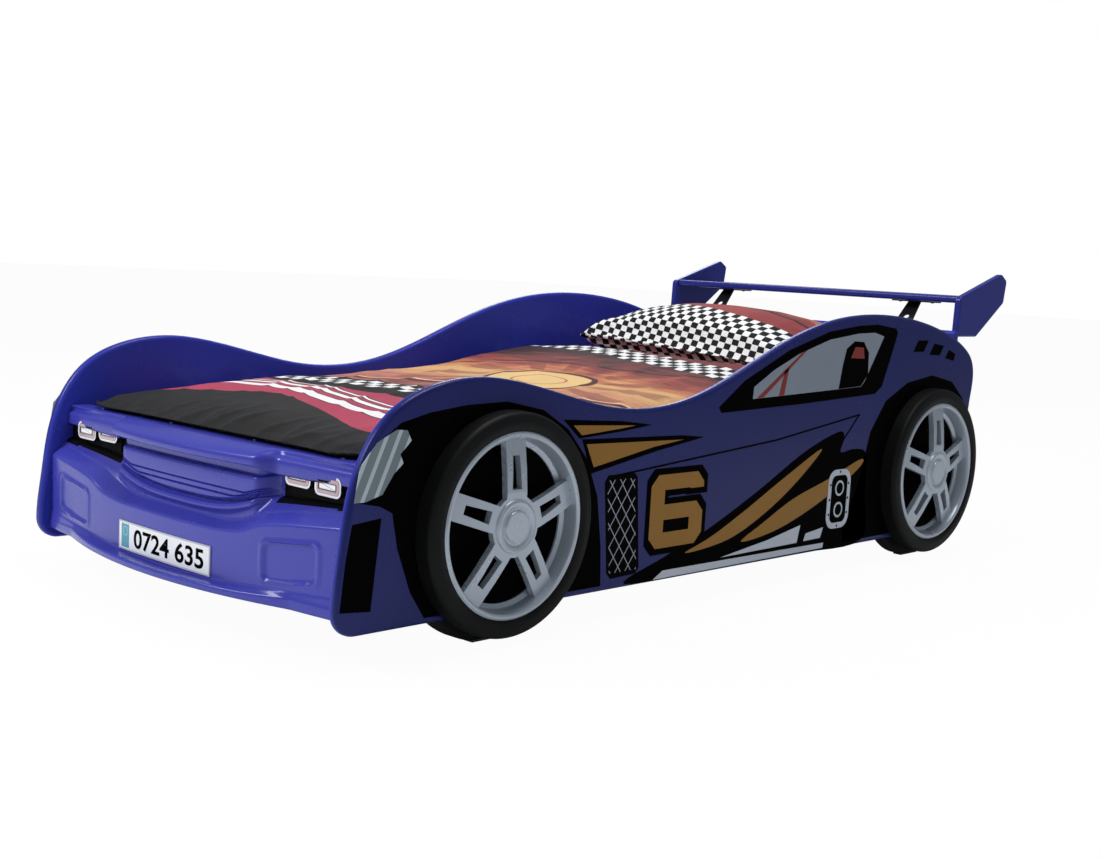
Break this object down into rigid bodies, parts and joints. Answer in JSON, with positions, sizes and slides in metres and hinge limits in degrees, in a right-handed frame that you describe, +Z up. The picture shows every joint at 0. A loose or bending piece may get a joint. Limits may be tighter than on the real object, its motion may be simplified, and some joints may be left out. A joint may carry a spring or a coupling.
{
  "type": "car bed",
  "caption": "Child's single bed shaped like a racing car: wavy side panels with wheel covers, moulded bumper, rear spoiler, slatted base, mattress, duvet and pillow.",
  "frame": {"origin": "on the floor under the middle of the bed's length and width", "axes": "+X to the car's left side, -Y towards the bumper at the foot end, +Z up"},
  "size_m": [1.108, 2.3499, 0.721],
  "materials": {
    "navy_lacquer": "gloss lacquer over board, dark blue",
    "bumper_blue": "gloss moulded plastic, blue",
    "black_trim": "satin black",
    "lamp_clear": "pale glossy lens",
    "plate_white": "white printed plate",
    "spoiler_lacquer": "gloss lacquer over board, very dark blue",
    "strut_black": "black powder coat",
    "fastener_steel": "zinc plated",
    "tyre_black": "matt black moulding",
    "rim_silver": "silver painted moulding",
    "foot_black": "black painted board",
    "glide_felt": "grey felt",
    "timber": "bare softwood",
    "webbing": "pale woven tape",
    "mattress_ticking": "white ticking",
    "duvet_print": "printed cotton in red, orange, brown and black",
    "pillow_print": "printed cotton in red and orange"
  },
  "bodies": {
    "bed_frame": {"bracket_screws": "fastener_steel", "bumper_screws": "fastener_steel", "centre_legs": "timber", "centre_rail": "timber", "corner_brackets": "fastener_steel", "floor_glides": "glide_felt", "front_board": "navy_lacquer", "front_bumper": "bumper_blue", "headlamp_bezel_left": "black_trim", "headlamp_bezel_right": "black_trim", "headlamp_lenses_left": "lamp_clear", "headlamp_lenses_right": "lamp_clear", "hub_cap_front_left": "rim_silver", "hub_cap_front_right": "rim_silver", "hub_cap_rear_left": "rim_silver", "hub_cap_rear_right": "rim_silver", "number_plate": "plate_white", "rail_hangers": "fastener_steel", "rail_screws": "fastener_steel", "rear_board": "navy_lacquer", "rim_front_left": "rim_silver", "rim_front_right": "rim_silver", "rim_rear_left": "rim_silver", "rim_rear_right": "rim_silver", "side_panel_left": "navy_lacquer", "side_panel_right": "navy_lacquer", "side_rail_left": "timber", "side_rail_right": "timber", "slat_straps": "webbing", "slats": "timber", "spoiler_blade": "spoiler_lacquer", "spoiler_dowels": "timber", "spoiler_endplate_left": "spoiler_lacquer", "spoiler_endplate_right": "spoiler_lacquer", "spoiler_screws": "fastener_steel", "spoiler_strut_left": "strut_black", "spoiler_strut_right": "strut_black", "support_foot_front_left": "foot_black", "support_foot_front_right": "foot_black", "support_foot_rear_left": "foot_black", "support_foot_rear_right": "foot_black", "tyre_front_left": "tyre_black", "tyre_front_right": "tyre_black", "tyre_rear_left": "tyre_black", "tyre_rear_right": "tyre_black", "wheel_bolts": "fastener_steel"},
    "mattress_body": {"mattress": "mattress_ticking"},
    "duvet_body": {"duvet": "duvet_print"},
    "pillow_body": {"pillow": "pillow_print"}
  },
  "joints": [
    {"name": "mattress_lift", "type": "slide", "parent": "bed_frame", "child": "mattress_body", "axis": [0, 0, 1], "range_m": [0, 0.45]},
    {"name": "duvet_lift", "type": "slide", "parent": "mattress_body", "child": "duvet_body", "axis": [0, 0, 1], "range_m": [0, 0.25]},
    {"name": "pillow_lift", "type": "slide", "parent": "duvet_body", "child": "pillow_body", "axis": [0, 0, 1], "range_m": [0, 0.25]}
  ]
}
